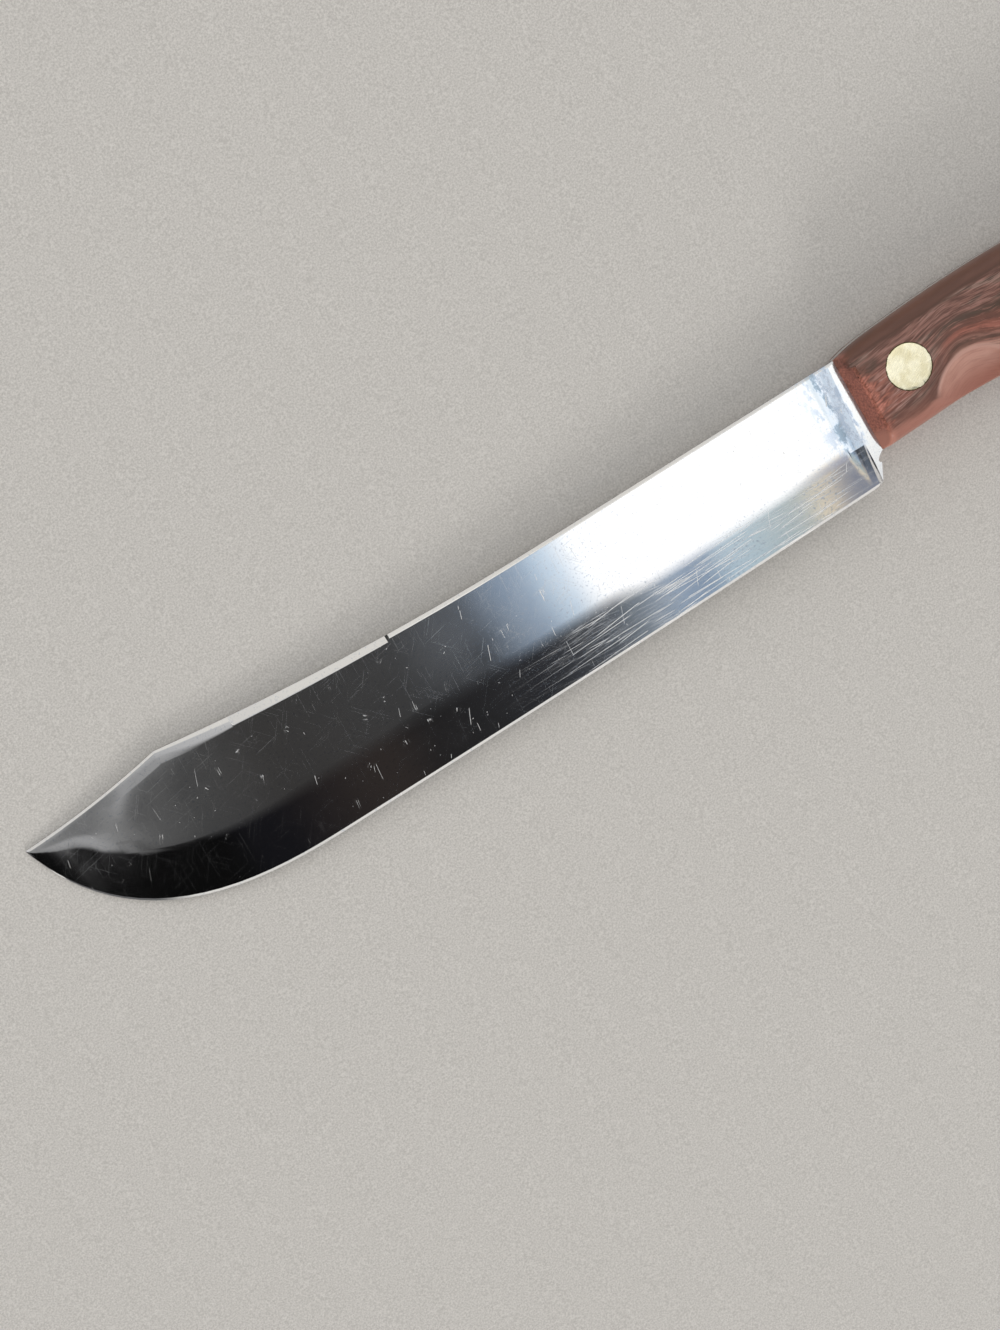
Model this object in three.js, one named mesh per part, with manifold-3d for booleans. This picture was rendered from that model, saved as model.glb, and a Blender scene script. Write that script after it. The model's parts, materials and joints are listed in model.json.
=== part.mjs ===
// A butcher knife: a ground and polished blade with a full tang, two laminated wood scales,
// and three two-piece cutler's rivets, each a socket and a pin pressed together through the tang.
// Millimetres. +X runs from the point to the butt, +Y from the edge to the spine, +Z out of the left side.
// While the knife is drawn, x = 0 is the front of the handle, y = 0 the straight spine and z = 0 mid-blade.
import * as THREE from "three";
import { mergeVertices } from "three/addons/utils/BufferGeometryUtils.js";
import Module from "manifold-3d";

const wasm = await Module();
wasm.setup();

// Blade outline
const bladeLength = 254;
const heelDepth = 36;
const bellyDepth = 38.2;
const bellyLength = 79;
const pointAngle = THREE.MathUtils.degToRad(74);
const pointPull = 44;
const bellyPull = 20;
const heelSetback = 4.6;
const heelRound = 1.6;
const heelBulge = 1.9;
const heelBulgeDepth = 30.4;
const choilSetback = 3.6;
const choilDrop = 2.1;
const sweepStart = 95;
const sweepRadius = 830;
const clipLength = 43.6;
const clipHollow = 0.9;
const pointRise = 3.4;
const pointBluntness = 0.8;

// Blade grind
const stockThickness = 3.2;
const flatThickness = 2.2;
const pointThickness = 0.9;
const taperStart = 218;
const heelBevel = 12.2;
const bellyBevel = 15.5;
const pointBevelShare = 0.7;
const shoulderThickness = 0.5;
const edgeBevel = 0.7;
const edgeThickness = 0.1;
const plungeSetback = 5;
const plungeLength = 0.8;
const plungeRun = 5.6;
const plungeRadius = 2;
const plungeLean = 3.1;
const leanReach = 30;
const pointCrownRadius = 27;

// Eased spine and swedge
const easeAtHeel = 0.6;
const easeAtSwedge = 1.1;
const easeDrop = 0.3;
const swedgeStart = 140.5;
const swedgeRunIn = 0.9;
const swedgeNarrow = 1.8;
const swedgeWide = 2.7;
const swedgeSplit = 1.3;
const swedgeDrop = 0.7;
const facetStart = 188;
const facetRunIn = 0.8;
const facetWidth = 2.2;
const facetDrop = 0.2;
const clipEase = 0.7;

// Handle
const handleLength = 130;
const handleTop = [
  [0, 0.2],
  [5, 1.3],
  [16, 2.3],
  [42, 3.3],
  [74, 2.3],
  [104, -0.6],
  [handleLength, -4],
];
const handleBottom = [
  [0, -27.5],
  [12, -27.1],
  [27, -26.7],
  [62, -29.2],
  [92, -27.6],
  [114, -31.5],
  [handleLength, -33],
];
const scaleThickness = 8.1;
const palmSwell = 0.4;
const sideWall = 1.4;
const topRound = 5.5;
const bottomRound = 4.5;
const frontLean = 1.4;
const leanFade = 7;
const buttRound = 13;
const buttFullness = 2.6;
const buttThinning = 3.2;
const buttFlat = 0.26;
const glueLine = 0.05;

// Each scale dips towards the palm, and a ball-shaped scallop in its lower edge takes the first finger
const dipCentre = new THREE.Vector2(45, -30);
const dipForward = 30;
const dipBackward = 50;
const dipHeight = 22.5;
const dipDepth = 1.8;
const dipFade = 4;
const scallopCentre = new THREE.Vector2(29.5, -29);
const scallopRadius = 13.5;
const scallopDepth = 4.6;
const creaseRound = 0.6;

// Cutler's rivets
const rivetHead = 12.7;
const rivetBarrel = 8;
const rivetPin = 5;
const firstRivet = 14.5;
const rivetPitch = 47.5;
const rivetRise = 1.2;
const rivetSeat = 4.4;
const socketReach = 5;
const pinReach = 3.5;
const pinChamfer = 0.5;
const boreSpare = 0.8;
const rivetFit = 0.06;
const grindAllowance = 1;

// Facets
const bellySteps = 24;
const pointCrowding = 1.4;
const edgeSteps = 16;
const frontStations = [0, 1, 2, 3.5, 5, 7.5, 10, 13];
const scallopSteps = 18;
const handleStep = 3;
const buttSteps = 8;
const roundSteps = 6;
const faceSteps = 12;
const crownSteps = 4;
const rivetSides = 36;

const { clamp, lerp, smoothstep } = THREE.MathUtils;

// A geometry as a closed solid, and a solid back as a geometry
function solidOf(geometry) {
  const bare = new THREE.BufferGeometry().setAttribute("position", geometry.getAttribute("position"));
  bare.setIndex(geometry.index);
  const merged = mergeVertices(bare, 1e-4);
  const mesh = new wasm.Mesh({
    numProp: 3,
    vertProperties: new Float32Array(merged.attributes.position.array),
    triVerts: new Uint32Array(merged.index.array),
  });
  return new wasm.Manifold(mesh);
}

function geometryOf(solid) {
  const mesh = solid.getMesh();
  const geometry = new THREE.BufferGeometry();
  geometry.setAttribute("position", new THREE.BufferAttribute(mesh.vertProperties, 3));
  geometry.setIndex(new THREE.BufferAttribute(mesh.triVerts, 1));
  const flat = geometry.toNonIndexed();
  flat.computeVertexNormals();
  return flat;
}

// A closed skin over rings of points that run round +X, in order along +X, with both ends capped
function loft(rings) {
  const count = rings[0].length;
  const index = [];
  for (let i = 0; i + 1 < rings.length; i++) {
    for (let j = 0; j < count; j++) {
      const k = (j + 1) % count;
      const [a, b] = [i * count + j, i * count + k];
      const [c, d] = [b + count, a + count];
      index.push(a, b, c, a, c, d);
    }
  }
  const cap = (ring) => THREE.ShapeUtils.triangulateShape(ring.map((p) => new THREE.Vector2(p.y, p.z)), []);
  const lastRing = (rings.length - 1) * count;
  cap(rings[0]).forEach(([a, b, c]) => index.push(a, c, b));
  cap(rings.at(-1)).forEach(([a, b, c]) => index.push(lastRing + a, lastRing + b, lastRing + c));
  const geometry = new THREE.BufferGeometry().setFromPoints(rings.flat());
  return geometry.setIndex(index);
}

// A smooth height over x, through a few points
function curveThrough(points) {
  const curve = new THREE.CubicInterpolant(points.map((p) => p[0]), points.map((p) => p[1]), 1);
  return (x) => curve.evaluate(x)[0];
}

// An upright cylinder between two heights, and a flat plate between two heights
function cylinder(radius, low, high, x, y) {
  const geometry = new THREE.CylinderGeometry(radius, radius, high - low, rivetSides);
  return solidOf(geometry.rotateX(Math.PI / 2).translate(x, y, (low + high) / 2));
}

function plate(shape, thickness) {
  const geometry = new THREE.ExtrudeGeometry(shape, { depth: thickness, bevelEnabled: false });
  return solidOf(geometry.translate(0, 0, -thickness / 2));
}

// Blade outline: the spine runs straight from the handle, sweeps up to the clip corner,
// and drops along a slightly hollow clip to the point. The edge is one long shallow curve and a round belly.
const clipCorner = clipLength - bladeLength;
const bellyEnd = bellyLength - bladeLength;
const spineSweep = (x) => Math.max(0, -sweepStart - x) ** 2 / (2 * sweepRadius);

function spineAt(x) {
  if (x >= clipCorner) return spineSweep(x);
  const share = (clipCorner - x) / clipLength;
  return lerp(spineSweep(clipCorner), pointRise, share) - 4 * clipHollow * share * (1 - share);
}

const point = new THREE.Vector2(-bladeLength, pointRise - pointBluntness);
const belly = new THREE.CubicBezierCurve(
  point,
  new THREE.Vector2(Math.cos(pointAngle), -Math.sin(pointAngle)).multiplyScalar(pointPull).add(point),
  new THREE.Vector2(bellyEnd - bellyPull, -bellyDepth),
  new THREE.Vector2(bellyEnd, -bellyDepth),
);

function edgeAt(x) {
  if (x >= bellyEnd) {
    const share = (x - bellyEnd) / (-heelSetback - bellyEnd);
    return lerp(-bellyDepth, -heelDepth, share ** 2);
  }
  let [low, high] = [0, 1];
  for (let i = 0; i < 40; i++) {
    const middle = (low + high) / 2;
    if (belly.getPoint(middle).x < x) low = middle;
    else high = middle;
  }
  return belly.getPoint(low).y;
}

// Blade grind: half of the thickness on the flats, the bevel's height above the edge,
// and the width and drop of the eased spine, the swedge and the clip
const taperShare = (x) => clamp((-taperStart - x) / (bladeLength - taperStart), 0, 1) ** 2;

// The plunge rises from the flat to the full stock by a short radius and then a straight ramp
function plungeShare(x) {
  const along = clamp(x + plungeSetback + plungeRun, 0, plungeRun);
  const rise = along < plungeRadius ? along ** 2 / (2 * plungeRadius) : along - plungeRadius / 2;
  return rise / (plungeRun - plungeRadius / 2);
}

function flatHalf(x) {
  return lerp(lerp(flatThickness, stockThickness, plungeShare(x)), pointThickness, taperShare(x)) / 2;
}

function bevelHeight(x) {
  const share = clamp((x + heelSetback) / (bellyEnd + heelSetback), 0, 1);
  return Math.min(lerp(heelBevel, bellyBevel, share), pointBevelShare * (spineAt(x) - edgeAt(x)));
}

function spineEase(x) {
  if (x < clipCorner) return { width: clipEase, drop: easeDrop };
  const start = smoothstep(-x, swedgeStart, swedgeStart + swedgeRunIn);
  const ease = lerp(easeAtHeel, easeAtSwedge, clamp(-x / swedgeStart, 0, 1));
  const along = clamp((-x - swedgeStart) / (facetStart - swedgeStart), 0, 1);
  const whole = lerp(swedgeNarrow, swedgeWide, along);
  const split = lerp(swedgeSplit, clipEase, facetAlong(x));
  const width = lerp(ease, lerp(whole, split, facetOn(x)), start);
  return { width, drop: lerp(easeDrop, lerp(swedgeDrop, easeDrop, facetAlong(x)), start) };
}

// A second, flatter facet under the swedge starts with a nick and fades out towards the clip corner
function facetOn(x) {
  return smoothstep(-x, facetStart, facetStart + facetRunIn);
}

function facetAlong(x) {
  return clamp((-facetStart - x) / (-facetStart - clipCorner), 0, 1);
}

// One cross-section of the blade, round from the spine down the left side and back up the right side.
// Near the point the ground borders take no more than a share of the depth that is left.
const borderShare = 0.2;
const facetShare = 0.05;

function bladeRing(x) {
  const [top, bottom, half] = [spineAt(x), edgeAt(x), flatHalf(x)];
  const depth = top - bottom;
  const ease = spineEase(x);
  const easeFoot = top - Math.min(ease.width, borderShare * depth);
  const facet = lerp(edgeThickness, facetWidth, facetOn(x));
  const facetFoot = easeFoot - Math.min(facet, facetShare * depth);
  const shoulder = Math.min(edgeBevel, borderShare * depth);
  const bevelTop = bottom + bevelHeight(x);
  const crown = (taperShare(x) * (facetFoot - bevelTop) ** 2) / (8 * pointCrownRadius);
  const face = [];
  for (let i = 1; i < crownSteps; i++) {
    const share = i / crownSteps;
    face.push([lerp(facetFoot, bevelTop, share), half + crown * 4 * share * (1 - share)]);
  }
  const ground = smoothstep(-x, plungeSetback - plungeLength, plungeSetback);
  const groundHalf = (thickness) => lerp(half, Math.min(thickness / 2, half), ground);
  const shoulderHalf = groundHalf(shoulderThickness);
  const side = [
    [top, Math.max(half - ease.drop, edgeThickness / 2)],
    [easeFoot, half - facetDrop * facetOn(x) * (1 - facetAlong(x))],
    [facetFoot, half],
    ...face,
    [bevelTop, half],
    [(bevelTop + bottom + shoulder) / 2, (half + shoulderHalf) / 2],
    [bottom + shoulder, shoulderHalf],
    [bottom, groundHalf(edgeThickness)],
  ];
  const lean = plungeLean * smoothstep(x, -plungeRun - leanReach, -plungeRun - plungeSetback);
  const left = side.map(([y, z]) => new THREE.Vector3(x + (lean * (y - bottom)) / depth, y, z));
  const right = left.map((p) => new THREE.Vector3(p.x, p.y, -p.z)).reverse();
  return [...left, ...right];
}

// Stations along the blade: close together round the belly, and one wherever the form breaks
function bladeStations(end) {
  const stations = [];
  for (let i = 0; i <= bellySteps; i++) stations.push(belly.getPoint((i / bellySteps) ** pointCrowding).x);
  for (let i = 1; i <= edgeSteps; i++) {
    stations.push(lerp(bellyEnd, -plungeSetback - plungeRun, i / edgeSteps));
  }
  for (let i = 1; i < plungeRun - plungeLength; i++) stations.push(-plungeSetback - plungeRun + i);
  const breaks = [clipCorner - clipEase, clipCorner, -facetStart - facetRunIn, -facetStart];
  breaks.push(-swedgeStart - swedgeRunIn, -swedgeStart - swedgeRunIn / 2, -swedgeStart);
  breaks.push(-plungeSetback, -plungeSetback + plungeLength / 2, -plungeSetback + plungeLength, end);
  const apart = (x) => breaks.every((b) => Math.abs(b - x) > plungeLength / 2);
  return [...stations.filter(apart), ...breaks].sort((a, b) => a - b);
}

// Handle outline, closed round the butt by a full curve
const gripTop = curveThrough(handleTop);
const gripBottom = curveThrough(handleBottom);
const buttStart = handleLength - buttRound;
const buttShare = (x) => clamp((x - buttStart) / buttRound, 0, 1);
const buttCurve = (x) => (1 - buttShare(x) ** buttFullness) ** (1 / buttFullness);

function gripAt(x) {
  const middle = (gripTop(x) + gripBottom(x)) / 2;
  const halfHeight = ((gripTop(x) - gripBottom(x)) / 2) * buttCurve(x);
  return { top: middle + halfHeight, bottom: middle - halfHeight, middle };
}

const buttEnd = handleLength - buttFlat;
const handleStations = [...frontStations];
const scallopStart = scallopCentre.x - scallopRadius;
for (let i = 0; i <= scallopSteps; i++) {
  handleStations.push(scallopStart + (2 * scallopRadius * i) / scallopSteps);
}
const lastPlain = buttStart - handleStep / 2;
for (let x = handleStations.at(-1) + handleStep; x < lastPlain; x += handleStep) handleStations.push(x);
for (let i = 0; i <= buttSteps; i++) {
  const turn = ((i / buttSteps) * Math.PI) / 2;
  handleStations.push(lerp(buttStart, buttEnd, Math.sin(turn)));
}

// How deep the palm dip cuts a scale's face, and how high the scallop leaves it
function dipAt(x, y) {
  const reach = x < dipCentre.x ? dipForward : dipBackward;
  const away = ((x - dipCentre.x) / reach) ** 2 + ((y - dipCentre.y) / dipHeight) ** 2;
  return dipDepth * Math.max(0, 1 - away);
}

function scallopHeight(x, y) {
  const ball = (scallopRadius ** 2 + scallopDepth ** 2) / (2 * scallopDepth);
  const away = (x - scallopCentre.x) ** 2 + (y - scallopCentre.y) ** 2;
  return scaleThickness - scallopDepth + ball - Math.sqrt(Math.max(0, ball ** 2 - away));
}

// The lower of two surfaces, with the crease between them rounded
function lower(a, b) {
  const near = Math.max(0, 1 - Math.abs(a - b) / creaseRound);
  return Math.min(a, b) - (creaseRound * near ** 2) / 4;
}

function faceHeight(x) {
  const swell = palmSwell * Math.sin(Math.PI * clamp(x / handleLength, 0, 1)) ** 2;
  return scaleThickness + swell - buttThinning * buttShare(x) ** 3;
}

// One cross-section of a scale, round from its top inner corner over the face to its bottom inner corner
function scaleRing(x, side) {
  const grip = gripAt(x);
  const face = faceHeight(x);
  const wall = Math.min(sideWall, face / 3);
  const across = grip.top - grip.bottom;
  const topReach = Math.min(topRound, across / 3);
  const bottomReach = Math.min(bottomRound, across / 3);
  const outline = [[grip.top, 0]];
  for (let i = 0; i <= roundSteps; i++) {
    const turn = ((i / roundSteps) * Math.PI) / 2;
    outline.push([grip.top - topReach * (1 - Math.cos(turn)), wall + (face - wall) * Math.sin(turn)]);
  }
  for (let i = 1; i < faceSteps; i++) {
    outline.push([lerp(grip.top - topReach, grip.bottom + bottomReach, i / faceSteps), face]);
  }
  for (let i = roundSteps; i >= 0; i--) {
    const turn = ((i / roundSteps) * Math.PI) / 2;
    outline.push([grip.bottom + bottomReach * (1 - Math.cos(turn)), wall + (face - wall) * Math.sin(turn)]);
  }
  outline.push([grip.bottom, 0]);
  const lean = (frontLean * Math.max(0, 1 - x / leanFade) ** 2) / scaleThickness;
  const ring = outline.map(([y, height]) => {
    const cut = lower(height - dipAt(x, y) * (height / face) ** dipFade, scallopHeight(x, y));
    return new THREE.Vector3(x + lean * cut, y, side * (stockThickness / 2 + glueLine + cut));
  });
  return side > 0 ? ring : ring.reverse();
}

// Rivets: places, and the revolved halves. Each socket's head is on the left and each pin's on the right.
const rivets = ["front", "middle", "rear"].map((name, i) => {
  const x = firstRivet + i * rivetPitch;
  return { name, x, y: gripAt(x).middle + rivetRise };
});
const innerFace = stockThickness / 2 + glueLine;
const seat = innerFace + rivetSeat;
const proud = innerFace + scaleThickness + palmSwell + grindAllowance;
const headRadius = rivetHead / 2;
const barrelRadius = rivetBarrel / 2;
const pinRadius = rivetPin / 2;

function revolve(profile, x, y) {
  const points = profile.map(([radius, height]) => new THREE.Vector2(radius, height));
  const geometry = new THREE.LatheGeometry(points, rivetSides);
  return solidOf(geometry.rotateX(Math.PI / 2).translate(x, y, 0));
}

function rivetSocket({ x, y }) {
  const profile = [
    [0, pinReach + boreSpare],
    [pinRadius + rivetFit, pinReach + boreSpare],
    [pinRadius + rivetFit, -socketReach],
    [barrelRadius, -socketReach],
    [barrelRadius, seat + rivetFit],
    [headRadius, seat + rivetFit],
    [headRadius, proud],
    [0, proud],
  ];
  return revolve(profile, x, y);
}

function rivetPinHalf({ x, y }) {
  const profile = [
    [0, -proud],
    [headRadius, -proud],
    [headRadius, -seat - rivetFit],
    [pinRadius, -seat - rivetFit],
    [pinRadius, pinReach - pinChamfer],
    [pinRadius - pinChamfer, pinReach],
    [0, pinReach],
  ];
  return revolve(profile, x, y);
}

// Blade and tang: the lofted blade, its heel cut back to the handle, joined to the tang and drilled
const tangOverlap = 4;
const heelMargin = 20;

function heelCut() {
  const heel = new THREE.Vector2(-heelSetback, -heelDepth);
  const bulge = new THREE.Vector2(-heelBulge, -heelBulgeDepth);
  const upHeel = bulge.clone().sub(heel).setLength(heelRound).add(heel);
  const ricassoBottom = gripAt(0).bottom;
  const cutStart = heel.x - heelRound;
  const cutEnd = tangOverlap + heelMargin;
  const cutBottom = -bellyDepth - heelMargin;
  const shape = new THREE.Shape();
  shape.moveTo(cutStart, cutBottom);
  shape.lineTo(cutEnd, cutBottom);
  shape.lineTo(cutEnd, ricassoBottom);
  shape.lineTo(0, ricassoBottom);
  shape.quadraticCurveTo(-choilSetback, ricassoBottom - choilDrop, bulge.x, bulge.y);
  shape.lineTo(upHeel.x, upHeel.y);
  shape.quadraticCurveTo(heel.x, heel.y, cutStart, edgeAt(cutStart) + edgeThickness);
  return plate(shape, 4 * stockThickness);
}

function tangPlate() {
  const topEdge = handleStations.map((x) => new THREE.Vector2(x, gripAt(x).top));
  const bottomEdge = handleStations.map((x) => new THREE.Vector2(x, gripAt(x).bottom));
  return plate(new THREE.Shape([...bottomEdge, ...topEdge.reverse()]), stockThickness);
}

function makeBlade() {
  const ground = solidOf(loft(bladeStations(tangOverlap).map(bladeRing)));
  let blade = ground.subtract(heelCut()).add(tangPlate());
  for (const { x, y } of rivets) {
    blade = blade.subtract(cylinder(barrelRadius + rivetFit, -stockThickness, stockThickness, x, y));
  }
  return blade;
}

// A scale with its rivet holes and the seats for the heads, and the same scale before drilling
function scaleBlank(side) {
  return solidOf(loft(handleStations.map((x) => scaleRing(x, side))));
}

function drillScale(blank, side) {
  let scale = blank;
  for (const { x, y } of rivets) {
    const hole = [0, side * proud].sort((a, b) => a - b);
    const counterbore = [side * seat, side * proud].sort((a, b) => a - b);
    scale = scale.subtract(cylinder(barrelRadius + rivetFit, ...hole, x, y));
    scale = scale.subtract(cylinder(headRadius + rivetFit, ...counterbore, x, y));
  }
  return scale;
}

// A rivet head ground flush with the scale that it sits in
function grindFlush(rivet, blank, side, { x, y }) {
  const reach = [side * innerFace, side * (proud + grindAllowance)].sort((a, b) => a - b);
  const above = cylinder(headRadius + grindAllowance, ...reach, x, y).subtract(blank);
  return rivet.subtract(above);
}

const polishedSteel = new THREE.MeshStandardMaterial({ color: 0xc4c8ca, roughness: 0.12, metalness: 1 });
const laminatedWood = new THREE.MeshStandardMaterial({ color: 0x6e3b2b, roughness: 0.4, metalness: 0 });
const brass = new THREE.MeshStandardMaterial({ color: 0xd9c98c, roughness: 0.3, metalness: 1 });

const assembly = new THREE.Group();

function addPiece(name, solid, material) {
  const mesh = new THREE.Mesh(geometryOf(solid), material);
  mesh.name = name;
  assembly.add(mesh);
}

const leftBlank = scaleBlank(1);
const rightBlank = scaleBlank(-1);
addPiece("blade", makeBlade(), polishedSteel);
addPiece("left_scale", drillScale(leftBlank, 1), laminatedWood);
addPiece("right_scale", drillScale(rightBlank, -1), laminatedWood);
for (const rivet of rivets) {
  addPiece(`${rivet.name}_rivet_socket`, grindFlush(rivetSocket(rivet), leftBlank, 1, rivet), brass);
  addPiece(`${rivet.name}_rivet_pin`, grindFlush(rivetPinHalf(rivet), rightBlank, -1, rivet), brass);
}

// The knife lies on its right side: its origin is under the middle of its box
const box = new THREE.Box3().setFromObject(assembly);
const middle = box.getCenter(new THREE.Vector3());
assembly.position.set(-middle.x, -middle.y, -box.min.z);

const knife = new THREE.Group();
knife.add(assembly);

export default knife;
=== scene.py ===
# %% [markdown]
# # A butcher knife
# The knife has nine pieces: a polished blade with its full tang, two wooden handle scales, and three
# two-piece brass rivets. Their shapes are already made to size, so this lesson gives each piece its
# finish: soft edges where a grinder or a buffing wheel leaves them, and the scratches, dyed wood and
# tarnish that the eye expects. Everything is in metres, so millimetres are written as a number times MM.

# %% The frame
import json
import math

import bpy
from mathutils import Matrix, Vector

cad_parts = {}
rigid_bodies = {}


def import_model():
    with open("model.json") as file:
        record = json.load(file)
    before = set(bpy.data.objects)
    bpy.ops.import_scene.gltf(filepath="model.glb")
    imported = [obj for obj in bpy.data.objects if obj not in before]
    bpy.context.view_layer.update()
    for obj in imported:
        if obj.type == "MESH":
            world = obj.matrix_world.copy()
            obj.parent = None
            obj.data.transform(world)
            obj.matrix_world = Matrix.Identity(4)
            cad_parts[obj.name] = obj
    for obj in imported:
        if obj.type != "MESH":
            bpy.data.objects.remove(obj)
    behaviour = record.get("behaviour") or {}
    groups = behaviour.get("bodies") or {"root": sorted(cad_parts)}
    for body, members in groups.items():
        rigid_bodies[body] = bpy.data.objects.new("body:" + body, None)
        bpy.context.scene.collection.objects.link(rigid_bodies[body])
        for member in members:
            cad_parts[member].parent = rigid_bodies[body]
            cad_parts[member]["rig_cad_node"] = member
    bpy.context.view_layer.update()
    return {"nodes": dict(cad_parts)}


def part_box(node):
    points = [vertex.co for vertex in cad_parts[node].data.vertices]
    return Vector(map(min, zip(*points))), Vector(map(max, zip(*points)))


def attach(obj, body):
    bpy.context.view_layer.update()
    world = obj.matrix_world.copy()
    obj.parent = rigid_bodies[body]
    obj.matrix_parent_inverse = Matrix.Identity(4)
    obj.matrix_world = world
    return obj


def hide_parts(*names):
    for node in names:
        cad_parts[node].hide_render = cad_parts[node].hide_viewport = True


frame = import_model()

MM = 0.001
blade_low, blade_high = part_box("blade")
middle_z = (blade_low.z + blade_high.z) / 2
handle_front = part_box("left_scale")[0].x
handle_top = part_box("left_scale")[1].y
print("nodes:", sorted(frame["nodes"]))
print("blade from", tuple(blade_low), "to", tuple(blade_high))

# %% [markdown]
# ## Working by hand
# Operators act on whatever is selected, and the loaded pieces all are, so each step first picks the one
# object it works on. A finished piece starts as a copy of its solid. The solid is made of loose
# triangles, so the copy's corners are merged first and its triangles are paired into four-sided faces,
# which bevel and shade more cleanly.

# %% Choosing and copying
MERGE = 0.001 * MM
PAIR_BEND = math.radians(3)
PAIR_SKEW = math.radians(60)


def choose(piece):
    bpy.ops.object.select_all(action="DESELECT")
    piece.select_set(True)
    bpy.context.view_layer.objects.active = piece


def copy_of(node, name):
    choose(frame["nodes"][node])
    bpy.ops.object.duplicate()
    piece = bpy.context.object
    piece.name = name
    piece.data.name = name
    piece.data.materials.clear()
    del piece["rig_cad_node"]
    bpy.ops.object.mode_set(mode="EDIT")
    bpy.ops.mesh.select_all(action="SELECT")
    bpy.ops.mesh.customdata_custom_splitnormals_clear()
    bpy.ops.mesh.remove_doubles(threshold=MERGE)
    bpy.ops.mesh.tris_convert_to_quads(face_threshold=PAIR_BEND, shape_threshold=PAIR_SKEW)
    bpy.ops.mesh.select_all(action="DESELECT")
    bpy.ops.object.mode_set(mode="OBJECT")
    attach(piece, "root")
    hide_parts(node)
    print(name, len(piece.data.vertices), "corners,", len(piece.data.polygons), "faces")
    return piece


# %% [markdown]
# ## Selecting edges by what they are
# By hand one would click the edges to soften. In a script they are found by the angle between the two
# faces that meet there, and by their place. Each edge gets a bevel weight, which is the share of the full
# width that its rounding has, so a rounding can taper off. A Bevel modifier then makes the strips.

# %% Softening edges
def edge_angles(mesh):
    normals = {}
    for face in mesh.polygons:
        for key in face.edge_keys:
            normals.setdefault(key, []).append(face.normal)
    return {key: pair[0].angle(pair[1], 0) for key, pair in normals.items() if len(pair) == 2}


def whole_width(place):
    return 1.0


def soften(piece, wanted, width, segments, share=whole_width):
    mesh = piece.data
    angles = edge_angles(mesh)
    weights = mesh.attributes.new("bevel_weight_edge", "FLOAT", "EDGE")
    count = 0
    for edge in mesh.edges:
        start, end = [mesh.vertices[corner].co for corner in edge.vertices]
        chosen = wanted(start, end, angles.get(edge.key, 0))
        weights.data[edge.index].value = share((start + end) / 2) if chosen else 0.0
        count += chosen
    choose(piece)
    bpy.ops.object.modifier_add(type="BEVEL")
    bevel = piece.modifiers[-1]
    bevel.limit_method = "WEIGHT"
    bevel.width = width
    bevel.segments = segments
    bevel.use_clamp_overlap = False
    bpy.ops.object.modifier_apply(modifier=bevel.name)
    mesh.attributes.remove(mesh.attributes["bevel_weight_edge"])
    print(piece.name, count, "edges softened by", round(width / MM, 2), "mm")


# %% [markdown]
# ## Smooth shading
# Curved faces should shade as one surface, and ground lines should stay crisp. Edges that bend by more
# than a limit, in degrees, are marked sharp. Weighted normals then keep the large flat faces flat.

# %% Smooth shading up to an angle
def shade(piece, limit):
    choose(piece)
    bpy.ops.object.shade_smooth()
    angles = edge_angles(piece.data)
    for edge in piece.data.edges:
        edge.use_edge_sharp = angles.get(edge.key, math.pi) > math.radians(limit)
    bpy.ops.object.modifier_add(type="WEIGHTED_NORMAL")
    piece.modifiers[-1].keep_sharp = True
    bpy.ops.object.modifier_apply(modifier=piece.modifiers[-1].name)
    sharp = sum(edge.use_edge_sharp for edge in piece.data.edges)
    print(piece.name, sharp, "sharp edges of", len(piece.data.edges))


# %% [markdown]
# ## Pulling single corners
# A few corners of the blade get a correction that is finer than the solid needs. By hand one would pull
# them with the mouse. Here they are selected by their place along the blade and up it, in millimetres,
# and an operator presses them to a thickness, on both sides of the blade, or slides them up.

# %% Pressing corners to a thickness
SIDE_START = 0.3 * MM


def press(piece, wanted, half):
    choose(piece)
    bpy.ops.object.mode_set(mode="EDIT")
    bpy.ops.mesh.select_mode(type="VERT")
    count = 0
    for side in (1, -1):
        bpy.ops.mesh.select_all(action="DESELECT")
        bpy.ops.object.mode_set(mode="OBJECT")
        for corner in piece.data.vertices:
            corner.select = wanted(corner.co) and side * (corner.co.z - middle_z) > SIDE_START
            count += corner.select
        bpy.ops.object.mode_set(mode="EDIT")
        bpy.ops.transform.resize(value=(1, 1, 0), center_override=(0, 0, middle_z + side * half))
    bpy.ops.object.mode_set(mode="OBJECT")
    print(piece.name, count, "corners pressed to", round(half / MM, 3), "mm from the middle")


# %% Sliding corners up
def slide(piece, wanted, rise):
    choose(piece)
    count = 0
    for corner in piece.data.vertices:
        corner.select = wanted(corner.co)
        count += corner.select
    bpy.ops.object.mode_set(mode="EDIT")
    bpy.ops.mesh.select_mode(type="VERT")
    bpy.ops.transform.translate(value=(0, rise, 0))
    bpy.ops.object.mode_set(mode="OBJECT")
    print(piece.name, count, "corners slid up by", round(rise / MM, 3), "mm")


# %% Finding corners by place
NEAR_ALONG = 0.5 * MM
NEAR_UP = 0.3 * MM


def close_to(spots):
    def wanted(place):
        gaps = [(abs(place.x - along * MM), abs(place.y - up * MM)) for along, up in spots]
        return any(along < NEAR_ALONG and up < NEAR_UP for along, up in gaps)

    return wanted


# %% [markdown]
# ## The blade
# The blade is ground from flat stock: a flat, a long bevel down to the edge, a plunge at the heel, and a
# swedge along the front of the spine, with a narrow second facet below it. The bevel runs out thin at the
# plunge, and the facet twists along its length and narrows at its end. A mirror shows such small twists,
# so the corners there are pressed and slid. Each table gives the half thickness or the rise, and where.

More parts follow.
